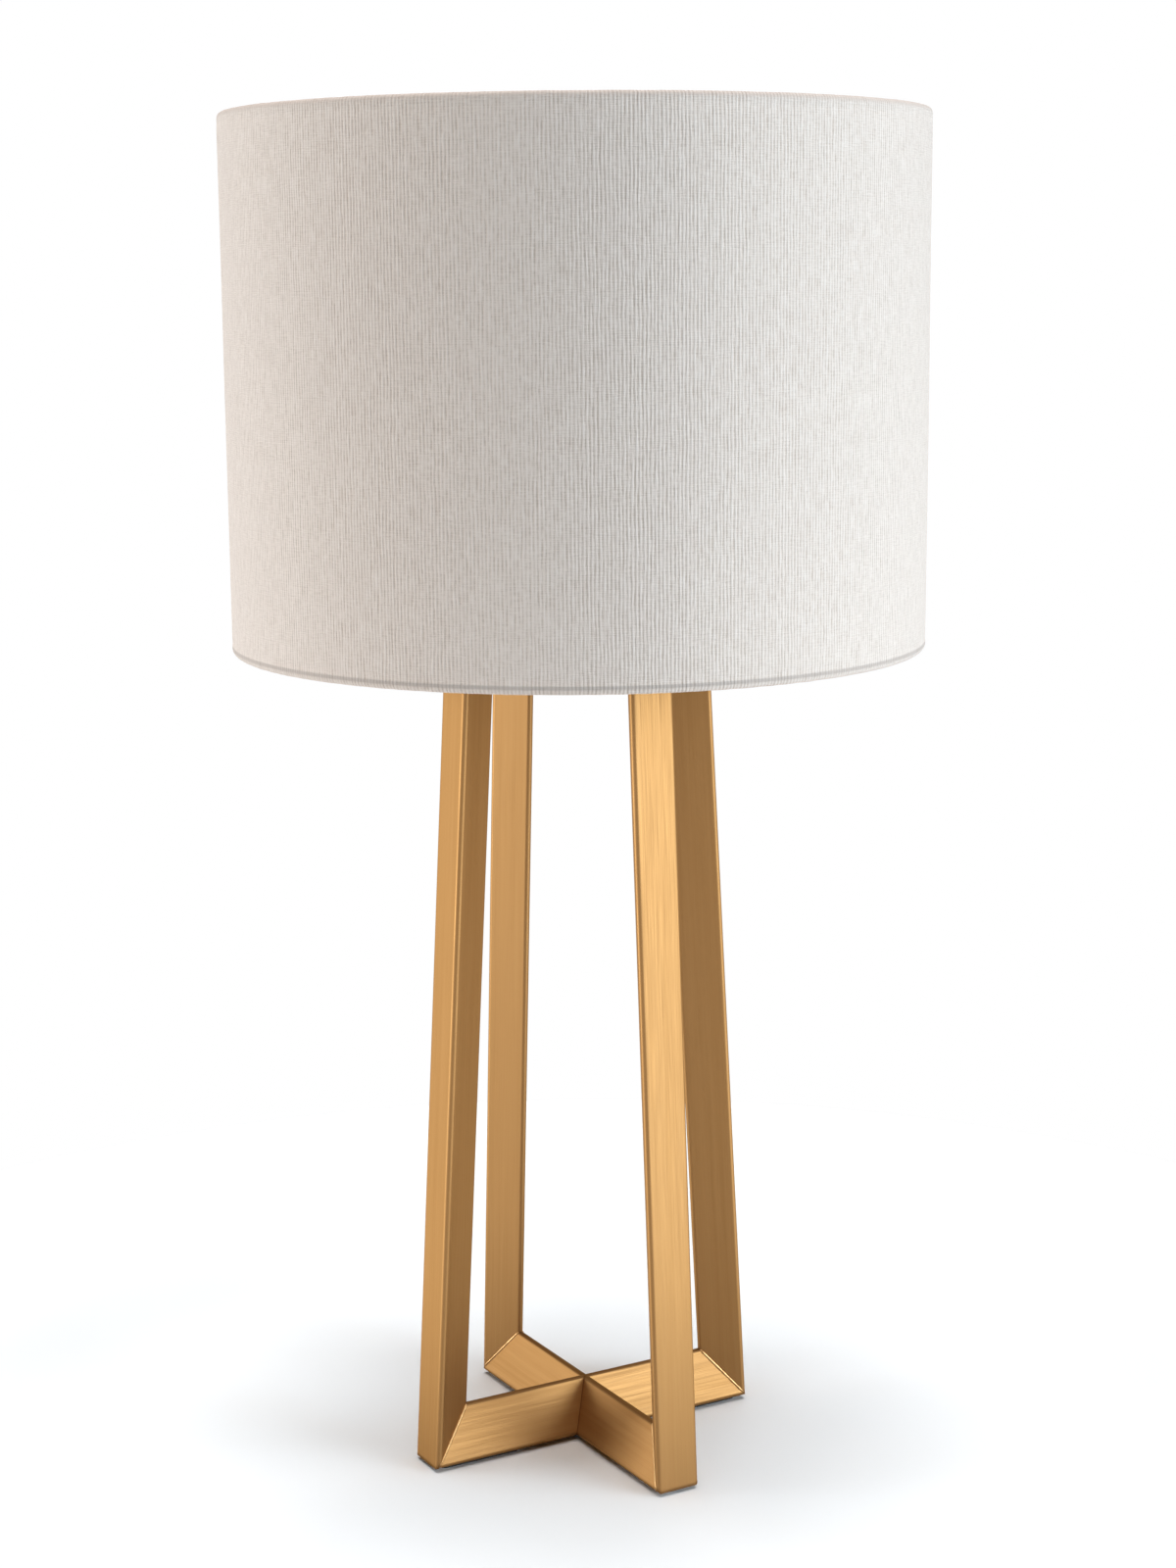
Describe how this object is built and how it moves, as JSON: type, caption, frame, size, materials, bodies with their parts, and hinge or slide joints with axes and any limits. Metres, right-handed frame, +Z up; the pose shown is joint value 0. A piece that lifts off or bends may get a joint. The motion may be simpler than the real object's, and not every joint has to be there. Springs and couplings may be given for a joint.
{
  "type": "table lamp",
  "caption": "Table lamp with two crossed brass frames of leaning legs, a drum shade of off-white linen, and a screw-in bulb in a switched lampholder.",
  "frame": {"origin": "on the table, under the middle of the lamp", "axes": "+Z up; +X, +Y, -X and -Y towards the right, back, left and front legs"},
  "size_m": [0.35, 0.35, 0.688],
  "materials": {
    "brushed_brass": "satin brushed brass plating, clear lacquer",
    "foot_pad": "matt black foam pad",
    "black_plastic": "matt moulded plastic",
    "plated_steel": "zinc plated",
    "holder_brass": "spun brass, satin",
    "ceramic": "unglazed porcelain",
    "contact_brass": "bright pressed brass",
    "holder_plastic": "satin moulded plastic, ivory",
    "fibre": "red vulcanised fibre",
    "white_wire": "white powder coat",
    "shade_liner": "matt white laminating film",
    "linen": "woven linen, off-white",
    "solder": "solder",
    "black_glass": "black glass insulator",
    "bulb_cap": "pressed, bright",
    "bulb_glass": "clear",
    "clear_glass": "clear",
    "filament": "phosphor coating"
  },
  "bodies": {
    "base": {"leg_right": "brushed_brass", "leg_left": "brushed_brass", "leg_front": "brushed_brass", "leg_back": "brushed_brass", "base_bar_through": "brushed_brass", "base_bar_back": "brushed_brass", "base_bar_front": "brushed_brass", "top_bar_right": "brushed_brass", "top_bar_back": "brushed_brass", "top_bar_left": "brushed_brass", "top_bar_front": "brushed_brass", "foot_pad_right": "foot_pad", "foot_pad_back": "foot_pad", "foot_pad_left": "foot_pad", "foot_pad_front": "foot_pad", "cord_inlet_grommet": "black_plastic", "top_hub": "brushed_brass", "threaded_tube": "plated_steel", "lock_nut": "plated_steel", "hub_plug": "black_plastic", "neck_collar": "brushed_brass", "holder_cap": "holder_brass", "switch_block": "black_plastic", "terminal_screws": "plated_steel", "ceramic_insert": "ceramic", "centre_contact": "contact_brass", "screw_shell": "contact_brass", "holder_skirt": "holder_plastic", "seat_ring": "holder_plastic"},
    "shade": {"fitter_ring": "white_wire", "fitter_arms": "white_wire", "shade_bottom_ring": "white_wire", "shade_top_ring": "white_wire", "shade_liner": "shade_liner", "linen_cover": "linen"},
    "ring_lift": {"clamp_washer": "fibre"},
    "clamp_ring": {"clamp_ring": "holder_plastic"},
    "switch": {"switch_push_bar": "plated_steel", "switch_button_front": "holder_plastic", "switch_button_back": "holder_plastic"},
    "bulb_lift": {"bulb_tip_contact": "solder"},
    "bulb": {"bulb_insulator": "black_glass", "bulb_cap": "bulb_cap", "bulb_glass": "bulb_glass", "bulb_stem": "clear_glass", "bulb_filaments": "filament"}
  },
  "joints": [
    {"name": "shade_turn", "type": "hinge", "parent": "base", "child": "shade", "pos_m": [0, 0, 0.4971], "axis": [0, 0, 1], "continuous": true},
    {"name": "ring_lift", "type": "slide", "parent": "base", "child": "ring_lift", "axis": [0, 0, 1], "range_m": [0, 0.0121]},
    {"name": "ring_unscrew", "type": "hinge", "parent": "ring_lift", "child": "clamp_ring", "pos_m": [0, 0, 0.4971], "axis": [0, 0, 1], "range_deg": [0, 1728]},
    {"name": "switch_push", "type": "slide", "parent": "base", "child": "switch", "axis": [0, 1, 0], "range_m": [0, 0.006]},
    {"name": "bulb_lift", "type": "slide", "parent": "base", "child": "bulb_lift", "axis": [0, 0, 1], "range_m": [0, 0.0219]},
    {"name": "bulb_unscrew", "type": "hinge", "parent": "bulb_lift", "child": "bulb", "pos_m": [0, 0, 0.49], "axis": [0, 0, 1], "range_deg": [0, 2160]}
  ],
  "couplings": [
    {"joint": "ring_lift", "follows": "ring_unscrew", "m_per_rad": 0.00039789},
    {"joint": "bulb_lift", "follows": "bulb_unscrew", "m_per_rad": 0.00057757}
  ]
}
